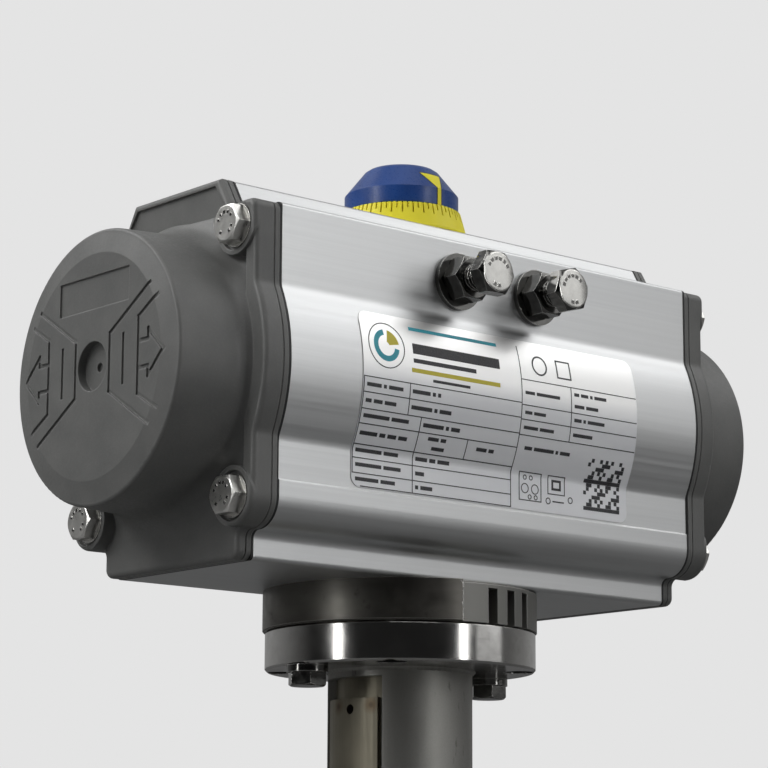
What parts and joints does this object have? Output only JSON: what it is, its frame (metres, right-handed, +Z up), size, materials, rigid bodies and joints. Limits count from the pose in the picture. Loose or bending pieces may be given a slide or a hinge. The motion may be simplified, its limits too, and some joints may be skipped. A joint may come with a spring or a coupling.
{
  "type": "rotary pneumatic actuator",
  "caption": "Double-acting rack-and-pinion quarter-turn pneumatic actuator with position indicator and travel-stop screws, on a stainless valve pedestal.",
  "frame": {"origin": "centre of the pedestal's bottom mounting face, on the pinion's axis", "axes": "+Z up along the pinion's axis, +X along the cylinder, -Y towards the rating plate and stop screws, +Y towards the air ports"},
  "size_m": [0.2228, 0.11, 0.2337],
  "materials": {
    "body_aluminium": "anodised, fine brushed grain along the cylinder, satin",
    "cap_paint": "dark grey polyester powder paint, satin",
    "black_rubber": "matt nitrile",
    "stainless_bolt": "bright stainless",
    "turned_stainless": "fine turned stainless, polished",
    "ring_steel": "dark brushed stainless",
    "tube_steel": "blasted stainless",
    "cover_steel": "matt stainless sheet, slightly heat-tinted",
    "piston_aluminium": "cast and machined, hard anodised",
    "pinion_steel": "nickel-plated steel",
    "bush_plastic": "natural acetal",
    "indicator_blue": "smooth moulded plastic",
    "indicator_yellow": "moulded plastic",
    "plate_foil": "white and silver foil"
  },
  "bodies": {
    "housing": {"body_housing": "body_aluminium", "end_cap_left": "cap_paint", "end_cap_right": "cap_paint", "cap_gasket_left": "black_rubber", "cap_gasket_right": "black_rubber", "cap_bolts": "stainless_bolt", "cap_bolt_washers": "stainless_bolt", "lower_pinion_bush": "bush_plastic", "upper_pinion_bush": "bush_plastic", "thrust_washer": "bush_plastic", "stop_lock_nuts": "stainless_bolt", "stop_seal_washers": "stainless_bolt", "indicator_ring": "indicator_yellow", "rating_plate": "plate_foil", "adapter_ring": "ring_steel", "adapter_screws": "stainless_bolt", "pedestal_flange": "turned_stainless", "flange_bolts": "stainless_bolt", "flange_bolt_washers": "stainless_bolt", "pedestal_tube": "tube_steel", "tube_welds": "tube_steel", "window_cover": "cover_steel", "base_flange": "turned_stainless", "coupling_bush": "bush_plastic"},
    "pinion": {"pinion": "pinion_steel", "stop_cam": "pinion_steel", "lower_shaft_seal": "black_rubber", "upper_shaft_seal": "black_rubber", "shaft_washer": "stainless_bolt", "shaft_circlip": "stainless_bolt", "indicator_cap": "indicator_blue", "indicator_pointers": "indicator_yellow", "indicator_screw": "stainless_bolt", "drive_coupling": "pinion_steel"},
    "piston_left": {"piston_left": "piston_aluminium", "piston_seal_left": "black_rubber", "piston_guide_band_left": "bush_plastic", "rack_guide_pad_left": "bush_plastic"},
    "piston_right": {"piston_right": "piston_aluminium", "piston_seal_right": "black_rubber", "piston_guide_band_right": "bush_plastic", "rack_guide_pad_right": "bush_plastic"},
    "stop_screw_left": {"stop_screw_left": "stainless_bolt"},
    "stop_screw_right": {"stop_screw_right": "stainless_bolt"}
  },
  "joints": [
    {"name": "piston_right_slide", "type": "slide", "parent": "housing", "child": "piston_right", "axis": [1, 0, 0], "range_m": [0, 0.02513]},
    {"name": "piston_left_slide", "type": "slide", "parent": "housing", "child": "piston_left", "axis": [-1, 0, 0], "range_m": [0, 0.02513]},
    {"name": "pinion_turn", "type": "hinge", "parent": "housing", "child": "pinion", "pos_m": [0, 0, 0.1583], "axis": [0, 0, 1], "range_deg": [0, 90]},
    {"name": "stop_screw_left_adjust", "type": "slide", "parent": "housing", "child": "stop_screw_left", "axis": [0, -1, 0], "range_m": [0, 0.002]},
    {"name": "stop_screw_right_adjust", "type": "slide", "parent": "housing", "child": "stop_screw_right", "axis": [0, -1, 0], "range_m": [0, 0.002]}
  ],
  "couplings": [
    {"joint": "pinion_turn", "follows": "piston_right_slide", "rad_per_m": 62.5},
    {"joint": "piston_left_slide", "follows": "piston_right_slide", "ratio": 1}
  ]
}
